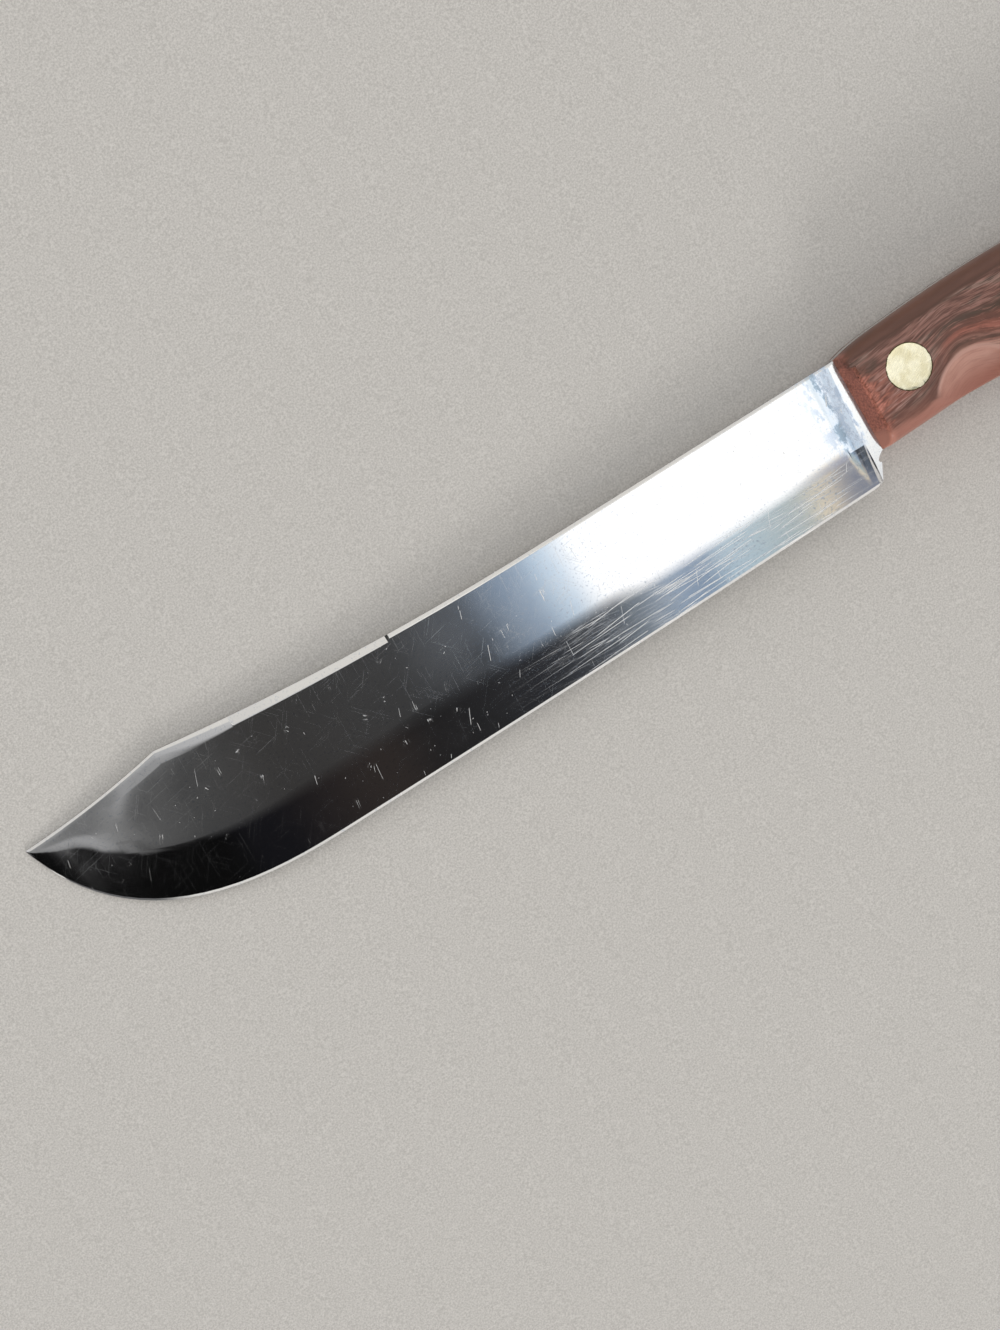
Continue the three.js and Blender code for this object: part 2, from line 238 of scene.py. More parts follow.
# %% The blade's corners
BEVEL_END_ALONG = (53 * MM, 57.9 * MM)
BEVEL_END_UP = (-15.2 * MM, -13.8 * MM)
BEVEL_END_HALF = 0.675 * MM
FACET_TOP = {
    1.02: [(-166.5, 19.6)],
    1.05: [(-162.4, 20.1), (-153.6, 21.5)],
    1.06: [(-158.1, 20.7)],
    1.03: [(-148.6, 22.35)],
    1.0: [(-144.2, 21.75)],
    0.965: [(-139.4, 21)],
    0.94: [(-134.5, 20.25)],
}
FACET_END = {0.3: [(-134.5, 18.1)], 0.65: [(-129.8, 17.4)], 0.95: [(-126.7, 17)]}

blade = copy_of("blade", "polished_blade")


def on_bevel_end(place):
    along = BEVEL_END_ALONG[0] < place.x < BEVEL_END_ALONG[1]
    return along and BEVEL_END_UP[0] < place.y < BEVEL_END_UP[1]


press(blade, on_bevel_end, BEVEL_END_HALF)
for half, spots in FACET_TOP.items():
    press(blade, close_to(spots), half * MM)
for rise, spots in FACET_END.items():
    slide(blade, close_to(spots), rise * MM)

# %% [markdown]
# ## Lines washed out by buffing
# A buffing wheel has washed out the line between flat and bevel. It is widest in the middle of the blade,
# and crisp at the point and at the plunge, where the wheel can't reach, so the rounding tapers off at
# both ends. The lower line of the second facet is washed out too. The spine's edges are only broken.

# %% The lower line of the second facet
FACET_FOOT = [
    (-166.5, 17.9), (-162.4, 18.3), (-158.1, 18.8), (-153.6, 19.4), (-148.6, 20.2),
    (-144.2, 19.6), (-139.4, 18.8), (-134.5, 18.4), (-129.8, 18), (-126.7, 17.9),
]
FACET_ROUND = 1.5 * MM
FACET_CRISP_AT = -133 * MM
FACET_TAPER = 12 * MM
FACET_THINNEST = 0.08

at_facet_foot = close_to(FACET_FOOT)


def runs_along(start, end):
    return abs(end.x - start.x) > 2 * abs(end.y - start.y)


def on_facet_foot(start, end, angle):
    return runs_along(start, end) and at_facet_foot(start) and at_facet_foot(end)


def facet_taper(place):
    return max(FACET_THINNEST, min(1.0, (FACET_CRISP_AT - place.x) / FACET_TAPER))


soften(blade, on_facet_foot, FACET_ROUND, 6, facet_taper)

# %% The line between flat and bevel
BEVEL_LINE_ROUND = 2.8 * MM
BEVEL_LINE_BEND = (math.radians(1.2), math.radians(9))
BEVEL_LINE_TOP = 12 * MM
POINT_CLEAR = 9 * MM
POINT_TAPER = 90 * MM
HEEL_CLEAR = 8 * MM
HEEL_TAPER = 16 * MM
THINNEST = 0.12

round_start = blade_low.x + POINT_CLEAR
round_end = handle_front - HEEL_CLEAR


def on_bevel_line(start, end, angle):
    inside = min(start.x, end.x) > round_start and max(start.x, end.x) < round_end
    shallow = BEVEL_LINE_BEND[0] < angle < BEVEL_LINE_BEND[1]
    return runs_along(start, end) and inside and shallow and max(start.y, end.y) < BEVEL_LINE_TOP


def wash_out(place):
    after_point = (place.x - round_start) / POINT_TAPER
    before_heel = (round_end - place.x) / HEEL_TAPER
    return max(THINNEST, min(1.0, after_point, before_heel))


soften(blade, on_bevel_line, BEVEL_LINE_ROUND, 8, wash_out)

# %% The edges of the spine
SPINE_ROUND = 0.14 * MM
SPINE_BEND = math.radians(10)
SPINE_SIDE = 0.8 * MM
SPINE_FOOT = 5 * MM
BLADE_SMOOTH = 5


def on_spine_line(start, end, angle):
    inside = min(start.x, end.x) > round_start and max(start.x, end.x) < handle_front
    flat_side = min(abs(start.z - middle_z), abs(end.z - middle_z)) > SPINE_SIDE
    steep_and_high = angle > SPINE_BEND and min(start.y, end.y) > SPINE_FOOT
    return runs_along(start, end) and inside and flat_side and steep_and_high


soften(blade, on_spine_line, SPINE_ROUND, 3)
shade(blade, BLADE_SMOOTH)

# %% [markdown]
# ## The scales and rivets
# The scales are sanded by hand, so the border of the front face is softened. Each rivet head is ground
# flush with the wood, and its rim is broken a little where the tarnish sits.

# %% The wooden scales
FRONT_ROUND = 0.9 * MM
FRONT_DEPTH = 4 * MM
FRONT_SIDE = 2 * MM
FRONT_BEND = math.radians(25)
SCALE_SMOOTH = 32

scales = []
for side in ("left", "right"):
    scales.append(copy_of(f"{side}_scale", f"{side}_wood_scale"))


def on_front_border(start, end, angle):
    near = max(start.x, end.x) < handle_front + FRONT_DEPTH
    outside = min(abs(start.z - middle_z), abs(end.z - middle_z)) > FRONT_SIDE
    return near and outside and angle > FRONT_BEND


for scale in scales:
    soften(scale, on_front_border, FRONT_ROUND, 4)
    shade(scale, SCALE_SMOOTH)

# %% The brass rivets
RIM_ROUND = 0.25 * MM
RIM_BEND = math.radians(40)
HEAD_HEIGHT = 7 * MM
RIVET_SMOOTH = 30

rivets = []
for place in ("front", "middle", "rear"):
    for half in ("socket", "pin"):
        node = f"{place}_rivet_{half}"
        rivets.append(copy_of(node, f"{place}_brass_{half}"))


def on_head_rim(start, end, angle):
    high = min(abs(start.z - middle_z), abs(end.z - middle_z)) > HEAD_HEIGHT
    return high and angle > RIM_BEND


for rivet in rivets:
    soften(rivet, on_head_rim, RIM_ROUND, 2)
    shade(rivet, RIVET_SMOOTH)

# %% [markdown]
# ## Nodes in a few words
# A material is a chain of nodes. These helpers add one node, set or link its inputs, and hand back the
# output that the next node needs, so each finish below reads as a short recipe. Colours are written as
# levels from 0 to 255, the way a picture editor shows them, and are turned into amounts of light.

# %% Adding a node
def fill(tree, socket, value):
    if isinstance(value, bpy.types.NodeSocket):
        tree.links.new(value, socket)
    else:
        socket.default_value = value


def add_node(tree, kind, settings=None, inputs=None):
    made = tree.nodes.new(kind)
    for name, value in (settings or {}).items():
        setattr(made, name, value)
    for name, value in (inputs or {}).items():
        fill(tree, made.inputs[name], value)
    return made


def start_material(name):
    made = bpy.data.materials.new(name)
    made.use_nodes = True
    tree = made.node_tree
    shader = tree.nodes["Principled BSDF"]
    coords = add_node(tree, "ShaderNodeTexCoord").outputs["Object"]
    return made, tree, shader, coords


# %% Sums and shares
def calc(tree, operation, *values):
    node = add_node(tree, "ShaderNodeMath", {"operation": operation}, dict(enumerate(values)))
    return node.outputs[0]


def product(tree, *values):
    total = values[0]
    for value in values[1:]:
        total = calc(tree, "MULTIPLY", total, value)
    return total


def strongest(tree, *values):
    total = values[0]
    for value in values[1:]:
        total = calc(tree, "MAXIMUM", total, value)
    return total


def split(tree, coords):
    return add_node(tree, "ShaderNodeSeparateXYZ", None, {0: coords}).outputs


def share_between(tree, value, low, high):
    return add_node(tree, "ShaderNodeMapRange", None, {0: value, 1: low, 2: high}).outputs[0]


def ease_between(tree, value, low, high, to_low=0.0, to_high=1.0):
    inputs = {"Value": value, "From Min": low, "From Max": high, "To Min": to_low, "To Max": to_high}
    return add_node(tree, "ShaderNodeMapRange", {"interpolation_type": "SMOOTHSTEP"}, inputs).outputs[0]


# %% Colours and patterns
def rgb(red, green, blue):
    def linear(level):
        share = level / 255
        return share / 12.92 if share <= 0.04045 else ((share + 0.055) / 1.055) ** 2.4

    return (linear(red), linear(green), linear(blue), 1.0)


def blend_colours(tree, share, first, second):
    node = add_node(tree, "ShaderNodeMix", {"data_type": "RGBA"})
    for place, value in ((0, share), (6, first), (7, second)):
        fill(tree, node.inputs[place], value)
    return node.outputs[2]


def lay_over(tree, tone, layers):
    for share, colour in layers:
        tone = blend_colours(tree, share, tone, colour)
    return tone


def ramp(tree, share, stops):
    node = add_node(tree, "ShaderNodeValToRGB", None, {0: share})
    marks = node.color_ramp
    marks.interpolation = "EASE"
    while len(marks.elements) < len(stops):
        marks.elements.new(0.5)
    for mark, (place, colour) in zip(marks.elements, stops):
        mark.position = place
        mark.color = colour
    return node.outputs[0]


def noise(tree, coords, size, detail=2.0, roughness=0.5, turn=0.0):
    sizes = size if isinstance(size, tuple) else (size, size, size)
    mapping = {"Vector": coords, "Scale": sizes, "Rotation": (0, 0, turn)}
    placed = add_node(tree, "ShaderNodeMapping", {"vector_type": "TEXTURE"}, mapping).outputs[0]
    inputs = {"Vector": placed, "Scale": 1.0, "Detail": detail, "Roughness": roughness}
    return add_node(tree, "ShaderNodeTexNoise", None, inputs).outputs[0]


# %% [markdown]
# ## Scratches
# A scratch is a thin stroke, and a scuff is a small patch of strokes side by side. For both, a Voronoi
# pattern cuts the surface into cells. Each cell turns its own strokes by a chance angle taken from its
# colour, and some cells stay empty.

# %% Strokes in cells
def stroke_cells(tree, coords, cell, turn, spread, shift):
    inputs = {"Vector": coords, "Location": (shift, 2 * shift, 0)}
    placed = add_node(tree, "ShaderNodeMapping", None, inputs).outputs[0]
    settings = {"voronoi_dimensions": "2D", "feature": "F1"}
    cells = add_node(tree, "ShaderNodeTexVoronoi", settings, {"Vector": placed, "Scale": 1 / cell})
    inputs = {0: placed, 1: cells.outputs["Position"]}
    offset = add_node(tree, "ShaderNodeVectorMath", {"operation": "SUBTRACT"}, inputs)
    x, y, _ = split(tree, offset.outputs[0])
    chance = add_node(tree, "ShaderNodeSeparateColor", None, {0: cells.outputs["Color"]}).outputs
    inputs = {"Value": chance[0], "To Min": turn - spread, "To Max": turn + spread}
    angle = add_node(tree, "ShaderNodeMapRange", None, inputs).outputs[0]
    sine, cosine = calc(tree, "SINE", angle), calc(tree, "COSINE", angle)
    along = calc(tree, "ADD", calc(tree, "MULTIPLY", x, cosine), calc(tree, "MULTIPLY", y, sine))
    across = calc(tree, "SUBTRACT", calc(tree, "MULTIPLY", y, cosine), calc(tree, "MULTIPLY", x, sine))
    return along, across, chance


# %% Scratches and scuffs
SCRATCH_BEND = 4.0


def scratches(tree, coords, cell, length, width, turn, spread, share, shift=0.0):
    along, across, chance = stroke_cells(tree, coords, cell, turn, spread, shift)
    reach = calc(tree, "MULTIPLY", ease_between(tree, chance[1], 0, 1, 0.3, 1.0), length / 2)
    bend = product(tree, along, along, SCRATCH_BEND)
    off_line = calc(tree, "ABSOLUTE", calc(tree, "ADD", across, bend))
    thin = ease_between(tree, off_line, width / 2, 0.1 * width)
    inside = calc(tree, "SUBTRACT", reach, calc(tree, "ABSOLUTE", along))
    fade = ease_between(tree, inside, 0, 0.15 * length)
    kept = calc(tree, "LESS_THAN", chance[2], share)
    return product(tree, thin, fade, kept)


def scuffs(tree, coords, cell, length, breadth, width, turn, spread, share, shift=0.0):
    along, across, chance = stroke_cells(tree, coords, cell, turn, spread, shift)
    place = add_node(tree, "ShaderNodeCombineXYZ", None, {0: along, 1: across, 2: chance[1]}).outputs[0]
    strokes = noise(tree, place, (length, width, 0.1), 1, 0.4)
    lines = ease_between(tree, strokes, 0.56, 0.66)
    near = [
        ease_between(tree, calc(tree, "ABSOLUTE", along), length / 2, length / 4),
        ease_between(tree, calc(tree, "ABSOLUTE", across), breadth / 2, breadth / 6),
    ]
    kept = calc(tree, "LESS_THAN", chance[2], share)
    return product(tree, lines, *near, kept)


# %% [markdown]
# ## Marks of use on the steel
# A used blade carries three kinds of marks. Short scratches and scuffs run crossways over the flat. Long
# strokes from sharpening lie along the bevel, towards the heel. Faint hairs run every way. Each kind is a
# table of sizes here, in the order of the helper's own arguments, so more kinds are easy to add.

# %% Scratches and scuffs on the flat
polished_steel, tree, shader, coords = start_material("polished_steel")
x, y, _ = split(tree, coords)
CROSSWAYS = math.radians(78)
# cell, length, width, turn, spread of the turn, share of the cells, shift
SCRATCH_KINDS = [
    (12 * MM, 6 * MM, 0.22 * MM, CROSSWAYS, 0.25, 0.3),
    (7 * MM, 3 * MM, 0.18 * MM, CROSSWAYS, 0.35, 0.24, 0.11),
    (2.4 * MM, 0.5 * MM, 0.22 * MM, 0, 1.5, 0.07, 0.37),
]
# cell, length, breadth, width of a stroke, turn, spread of the turn, share of the cells, shift
SCUFF_KINDS = [
    (14 * MM, 4 * MM, 2 * MM, 0.24 * MM, CROSSWAYS, 0.3, 0.5, 0.23),
    (9 * MM, 1.8 * MM, 2.2 * MM, 0.25 * MM, CROSSWAYS, 1.2, 0.3, 0.41),
]
marks = [scratches(tree, coords, *kind) for kind in SCRATCH_KINDS]
marks += [scuffs(tree, coords, *kind) for kind in SCUFF_KINDS]
use = ease_between(tree, noise(tree, coords, 16 * MM, 2, 0.5), 0.36, 0.6, 0.3, 1.0)
by_point = ease_between(tree, x, -95 * MM, -125 * MM)
leaning = calc(tree, "ADD", y, calc(tree, "MULTIPLY", x, 0.3))
below_clip = ease_between(tree, leaning, -47 * MM, -52 * MM)
kept_by_point = calc(tree, "SUBTRACT", 1.0, product(tree, by_point, below_clip, 0.6))
worn = product(tree, strongest(tree, *marks), use, kept_by_point)
print(len(marks), "kinds of marks on the flat")

# %% Strokes from sharpening, and hairs
on_bevel = ease_between(tree, y, -8.5 * MM, -10.5 * MM)
after_middle = ease_between(tree, x, -65 * MM, -20 * MM)
fewer_at_heel = ease_between(tree, x, 54 * MM, 40 * MM, 0.35, 1)
sharpened = product(tree, on_bevel, after_middle, fewer_at_heel)
stretch = {"Vector": coords, "Scale": (0.16, 1, 1)}
drawn_out = add_node(tree, "ShaderNodeMapping", None, stretch).outputs[0]
drawn = []
for shift in (0.0, 0.013, 0.029, 0.041, 0.057):
    stroke = scratches(tree, drawn_out, 3.6 * MM, 4.6 * MM, 0.22 * MM, 0.1, 0.6, 0.8, shift)
    drawn.append(product(tree, stroke, sharpened))
for turn in (-0.13, -0.05, 0.02, 0.1):
    bundle = ease_between(tree, noise(tree, coords, (30 * MM, 4 * MM, 1), 1, 0.5, turn), 0.42, 0.58)
    lines = ease_between(tree, noise(tree, coords, (26 * MM, 0.32 * MM, 1), 1, 0.4, turn), 0.6, 0.68)
    drawn.append(product(tree, lines, bundle, sharpened, 0.45))
strokes = strongest(tree, *drawn)
thin_lines = []
for turn in (0.2, 0.9, 1.5, 2.3):
    fine = noise(tree, coords, (14 * MM, 0.22 * MM, 1), 1, 0.4, turn)
    thin_lines.append(ease_between(tree, fine, 0.66, 0.74))
hairs = strongest(tree, *thin_lines)
print(len(drawn), "layers of strokes and", len(thin_lines), "of hairs")

# %% [markdown]
# ## Polished steel
# The blade is buffed close to a mirror, so nearly all that one sees of it is what it reflects. What makes
# it look like metal that has been used is the roughness: faint haze, and scratches that are rougher than
# the polish and so catch the light. The scratches are also painted near white, a painted glint. By the
# plunge the wheel has left a blotchy haze; its bluish tint, and the slate band on the ramp, are painted
# reflection.

# %% How rough the steel is
haze = noise(tree, coords, 18 * MM, 4, 0.6)
polish = ease_between(tree, haze, 0.3, 0.75, 0.045, 0.085)
specks = ease_between(tree, noise(tree, coords, 0.7 * MM, 2, 0.6), 0.55, 0.75, 0, 0.12)
past_dark_end = ease_between(tree, x, -75 * MM, -45 * MM)
polish = calc(tree, "ADD", polish, product(tree, specks, past_dark_end))
blotches = ease_between(tree, noise(tree, coords, (2.5 * MM, 5 * MM, 1), 4, 0.7), 0.42, 0.6)
on_flat = ease_between(tree, y, -10 * MM, -7 * MM)
before_ramp_end = ease_between(tree, x, 60.3 * MM, 59.3 * MM)
by_plunge = product(tree, ease_between(tree, x, 44 * MM, 56 * MM), on_flat, before_ramp_end)
roughness = strongest(
    tree,
    polish,
    product(tree, by_plunge, ease_between(tree, blotches, 0, 1, 0.08, 0.3)),
    product(tree, hairs, 0.16),
    product(tree, strokes, 0.5),
    product(tree, worn, 0.48),
)
tree.links.new(roughness, shader.inputs["Roughness"])
print("roughness takes", len(tree.nodes), "nodes")

# %% The colour of the steel
steel_tone = blend_colours(tree, haze, rgb(205, 206, 208), rgb(214, 213, 212))
ramp_start = ease_between(tree, x, 52.8 * MM, 53.6 * MM)
ramp_middle = ease_between(tree, x, 56.4 * MM, 55.2 * MM)
ramp_painted_reflection = ease_between(tree, blotches, 0, 1, 0.5, 0.95)
scored_with_glint = calc(tree, "MAXIMUM", strokes, calc(tree, "MULTIPLY", worn, 0.7))
steel_tone = lay_over(tree, steel_tone, [
    # The blotches by the plunge are tinted blue: a painted reflection of the window over the real haze.
    (product(tree, by_plunge, blotches, 0.7), rgb(178, 199, 224)),
    # The slate band on the ramp is a painted reflection.
    (product(tree, ramp_start, ramp_middle, on_flat, ramp_painted_reflection), rgb(152, 170, 186)),
    (product(tree, specks, 6), rgb(184, 189, 198)),
    # The scratches are painted near white: a painted glint over real wear.
    (scored_with_glint, rgb(250, 250, 250)),
])
tree.links.new(steel_tone, shader.inputs["Base Color"])
# Less metal in the scratches is part of the same painted glint.
metal_share = calc(tree, "SUBTRACT", 1.0, calc(tree, "MULTIPLY", scored_with_glint, 0.6))
tree.links.new(metal_share, shader.inputs["Metallic"])
blade.data.materials.append(polished_steel)
print(polished_steel.name, len(tree.nodes), "nodes")

# %% [markdown]
# ## Laminated wood
# The scales are sawn from a block of thin veneers, dyed brown, black and red and pressed together with
# resin. Sanding the finger scallop cuts through the veneers, so their borders bend round it like contour
# lines. A flow coordinate, which counts the veneers upwards from the scallop, carries the whole figure.

# %% Places on the handle
laminated_wood, tree, shader, coords = start_material("laminated_wood")
x, y, z = split(tree, coords)
TOP_CREST = handle_front + 42 * MM
TOP_RADIUS = 512 * MM
SCALLOP = (handle_front + 29 * MM, -13.7 * MM)
SCALLOP_RADIUS = 13.5 * MM

waves = noise(tree, coords, (12 * MM, 3 * MM, 8 * MM), 3, 0.55, 0.08)
wobble = calc(tree, "SUBTRACT", waves, 0.5)


def wavy(value, amount):
    return calc(tree, "ADD", value, calc(tree, "MULTIPLY", wobble, amount))


def away_from(centre, reach):
    parts = [
        calc(tree, "POWER", calc(tree, "DIVIDE", calc(tree, "SUBTRACT", axis, middle), size), 2)
        for axis, middle, size in zip((x, y), centre, reach)
    ]
    return calc(tree, "SQRT", calc(tree, "ADD", *parts))


def patch(centre, reach):
    return ease_between(tree, calc(tree, "ADD", away_from(centre, reach), wobble), 1.1, 0.5)


from_front = calc(tree, "SUBTRACT", x, handle_front)
from_crest = calc(tree, "SUBTRACT", x, TOP_CREST)
fall = calc(tree, "DIVIDE", calc(tree, "POWER", from_crest, 2), 2 * TOP_RADIUS)
from_top = calc(tree, "SUBTRACT", calc(tree, "SUBTRACT", handle_top, y), fall)
scallop_share = away_from(SCALLOP, (SCALLOP_RADIUS, SCALLOP_RADIUS))
print("scallop at", SCALLOP, "radius", SCALLOP_RADIUS)

# %% The flow of the veneers
ARCH_WIDTH = 10 * MM
ARCH_RISE = 5 * MM
ARCH_FADE = 7 * MM
FRONT_TILT = -0.09

past_crest = calc(tree, "SUBTRACT", x, SCALLOP[0])
spread = calc(tree, "MULTIPLY", calc(tree, "POWER", past_crest, 2), -1 / ARCH_WIDTH**2)
bell = calc(tree, "EXPONENT", spread)
fading = calc(tree, "EXPONENT", calc(tree, "DIVIDE", calc(tree, "MAXIMUM", y, 0), -ARCH_FADE))
drop = product(tree, calc(tree, "SUBTRACT", 1.0, bell), fading, ARCH_RISE)
tilt = calc(tree, "MULTIPLY", calc(tree, "MINIMUM", past_crest, 0), FRONT_TILT)
veneer = calc(tree, "ADD", calc(tree, "ADD", y, drop), wavy(tilt, 1.2 * MM))
grain = add_node(tree, "ShaderNodeCombineXYZ", None, {0: x, 1: veneer, 2: z}).outputs[0]
fibres = noise(tree, grain, (7 * MM, 0.45 * MM, 0.7 * MM), 3, 0.6)
threads = noise(tree, grain, (5 * MM, 0.24 * MM, 0.45 * MM), 2, 0.6)
mixed = calc(tree, "ADD", calc(tree, "MULTIPLY", fibres, 0.55), calc(tree, "MULTIPLY", threads, 0.45))
figure = noise(tree, grain, (16 * MM, 2.4 * MM, 6 * MM), 3, 0.6)
dashes = noise(tree, coords, (1.8 * MM, 0.5 * MM, 0.5 * MM), 3, 0.65, 0.3)
print("veneers rise by", round(ARCH_RISE / MM, 2), "mm over the scallop")

# %% [markdown]
# ## The colours of the veneers
# Each veneer shows fine dark and pale fibres. The colours go on in layers, each a share and a colour:
# first the streaked face, then the contour bands above the scallop, then the red end by the blade, whose
# front face is painted lighter as painted light, the brown top and the carved places, with painted shade
# and painted highlights round the scallop. A list of layers is easy to reorder, which is how one tries them
# out.

# %% The streaked face
streaks = ease_between(tree, mixed, 0.4, 0.6)
brown_face = blend_colours(tree, streaks, rgb(90, 57, 47), rgb(142, 99, 87))
grey_face = blend_colours(tree, streaks, rgb(82, 60, 50), rgb(140, 109, 97))
red_face = blend_colours(tree, streaks, rgb(103, 59, 48), rgb(160, 103, 88))
high_up = ease_between(tree, y, 5 * MM, 9 * MM)
brown_share = calc(tree, "MAXIMUM", ease_between(tree, figure, 0.38, 0.5), high_up)
pale_place = patch((handle_front + 7 * MM, 0), (4 * MM, 7 * MM))
pale_place = ease_between(tree, pale_place, 0, 1, 0.25, 0.9)
face_layers = [
    (brown_share, brown_face),
    (ease_between(tree, figure, 0.53, 0.6), grey_face),
    (product(tree, ease_between(tree, fibres, 0.52, 0.66), pale_place), rgb(176, 140, 131)),
]
wood_tone = lay_over(tree, red_face, face_layers)
print("streaked face in", len(face_layers), "layers")

# %% Contour bands above the scallop
BANDS_LOW, BANDS_HIGH = -1 * MM, 10 * MM
bands = ramp(tree, share_between(tree, veneer, BANDS_LOW, BANDS_HIGH), [
    # The palest stop, along the scallop's upper rim, is a painted highlight; the other stops are veneers.
    (0.08, rgb(176, 134, 120)),
    (0.17, rgb(114, 80, 68)),
    (0.24, rgb(92, 66, 55)),
    (0.31, rgb(138, 98, 86)),
    (0.37, rgb(112, 74, 62)),
    (0.46, rgb(154, 96, 82)),
    (0.53, rgb(134, 82, 68)),
    (0.58, rgb(104, 68, 57)),
    (0.66, rgb(108, 70, 58)),
    (0.76, rgb(78, 60, 49)),
    (0.88, rgb(84, 64, 53)),
])
bands = lay_over(tree, bands, [
    (ease_between(tree, mixed, 0.48, 0.4, 0, 0.6), rgb(84, 54, 44)),
    (ease_between(tree, mixed, 0.53, 0.61, 0, 0.5), rgb(176, 120, 106)),
])
in_bands = product(
    tree,
    ease_between(tree, past_crest, -9 * MM, -1 * MM),
    ease_between(tree, past_crest, 45 * MM, 25 * MM),
    ease_between(tree, veneer, 9.5 * MM, 7.5 * MM),
)
wood_tone = blend_colours(tree, in_bands, wood_tone, bands)
print("contour bands over", round((BANDS_HIGH - BANDS_LOW) / MM, 2), "mm")

# %% The red end by the blade
red_end = blend_colours(tree, ease_between(tree, dashes, 0.38, 0.58), rgb(104, 60, 48), rgb(154, 94, 77))
# The front face faces away from the lamp, so its mottled red is painted lighter: painted light on the wood's
# own red.
front_painted_light = blend_colours(tree, ease_between(tree, dashes, 0.36, 0.6), rgb(142, 85, 71), rgb(200, 128, 110))
dark_fibres = ease_between(tree, fibres, 0.5, 0.36, 0, 0.45)
front_painted_light = blend_colours(tree, dark_fibres, front_painted_light, rgb(112, 68, 56))
ragged = wavy(from_front, 16 * MM)
dark_place = patch((handle_front + 4.6 * MM, 9.6 * MM), (4 * MM, 2.2 * MM))
end_layers = [
    (ease_between(tree, ragged, 5 * MM, 2 * MM), red_end),
    (ease_between(tree, ragged, 3.4 * MM, 0.6 * MM, 0, 0.9), front_painted_light),
    (product(tree, dark_place, 0.6), rgb(74, 55, 43)),
]
wood_tone = lay_over(tree, wood_tone, end_layers)
print("red end in", len(end_layers), "layers")

# %% The brown top and the lower part
TOP_BAND = 4.3 * MM

soft_brown = blend_colours(tree, ease_between(tree, waves, 0.3, 0.7), rgb(96, 62, 49), rgb(108, 71, 57))
low_down = ease_between(tree, y, -4 * MM, -6.5 * MM)
behind_front = ease_between(tree, from_front, 2 * MM, 8 * MM)
band_edge = wavy(from_top, 3 * MM)
in_top_band = ease_between(tree, band_edge, TOP_BAND + 0.5 * MM, TOP_BAND - 0.4 * MM)
in_top_band = product(tree, in_top_band, ease_between(tree, from_front, 0.5 * MM, 4 * MM, 0.45, 1))
by_band_edge = ease_between(tree, band_edge, TOP_BAND - 1.2 * MM, TOP_BAND - 0.2 * MM)
top_layers = [
    (product(tree, low_down, behind_front, 0.7), rgb(116, 74, 61)),
    (in_top_band, soft_brown),
    (product(tree, in_top_band, by_band_edge, 0.6), rgb(76, 48, 38)),
]
wood_tone = lay_over(tree, wood_tone, top_layers)
print("brown top", round(TOP_BAND / MM, 2), "mm deep")

# %% [markdown]
# ## Carved places
# Where the scallop and the lower round cut across the veneers, the wood is paler and its fibres are short.
# A pale line along the scallop's border is a painted highlight, the wood in front of it is darkened with
# painted shade, and the foot of the front face is painted lighter, as painted light.

# %% Carved places
SCALLOP_BORDER = 0.98
SCALLOP_RIM = 0.97

upwards = ease_between(tree, y, -10 * MM, -3 * MM)
carved_tone = blend_colours(tree, upwards, rgb(158, 104, 90), rgb(184, 138, 124))
carved_tone = lay_over(tree, carved_tone, [
    (ease_between(tree, waves, 0.35, 0.7, 0, 0.4), rgb(150, 98, 84)),
    (ease_between(tree, fibres, 0.55, 0.35, 0, 0.3), rgb(132, 84, 71)),
])
# Painted shade: the wood in front of the scallop is darkened.
painted_shade_around = ease_between(tree, scallop_share, 1.35, 1.04)
before_crest = ease_between(tree, past_crest, -2 * MM, -7 * MM)
above_foot = ease_between(tree, y, -8 * MM, -5 * MM)
soft = ease_between(tree, above_foot, 0, 1, 0.14, 0.02)
outer = calc(tree, "ADD", SCALLOP_BORDER, soft)
inner = calc(tree, "SUBTRACT", SCALLOP_BORDER, soft)
in_scallop = ease_between(tree, scallop_share, outer, inner)
on_lower_round = ease_between(tree, wavy(y, 6 * MM), -7 * MM, -9 * MM)
# A pale line along the scallop's border: a painted highlight.
off_rim = calc(tree, "ABSOLUTE", calc(tree, "SUBTRACT", scallop_share, SCALLOP_RIM))
painted_rim_highlight = ease_between(tree, off_rim, 0.07, 0.01, 0, 0.5)
# The foot of the front face is painted pale: painted light where the lamp doesn't reach.
painted_light_by_front = ease_between(tree, from_front, 4 * MM, 0, 0, 0.8)
at_foot = ease_between(tree, y, -6 * MM, -9 * MM)
carved_and_painted_layers = [
    (product(tree, painted_shade_around, before_crest, 0.6), rgb(92, 60, 50)),
    (calc(tree, "MAXIMUM", in_scallop, on_lower_round), carved_tone),
    (product(tree, painted_rim_highlight, above_foot), rgb(196, 156, 144)),
    (product(tree, painted_light_by_front, at_foot), rgb(206, 140, 122)),
]
wood_tone = lay_over(tree, wood_tone, carved_and_painted_layers)
tree.links.new(wood_tone, shader.inputs["Base Color"])
print("carved places in", len(carved_and_painted_layers), "layers")

# %% The wood's surface
pores = noise(tree, grain, (2.5 * MM, 0.25 * MM, 0.4 * MM), 2, 0.6)
tree.links.new(ease_between(tree, pores, 0.3, 0.7, 0.42, 0.3), shader.inputs["Roughness"])
shader.inputs["Specular IOR Level"].default_value = 0.4
bump = add_node(tree, "ShaderNodeBump", None, {"Height": pores, "Strength": 0.15, "Distance": 0.05 * MM})
tree.links.new(bump.outputs[0], shader.inputs["Normal"])
for scale in scales:
    scale.data.materials.append(laminated_wood)
print(laminated_wood.name, len(tree.nodes), "nodes")

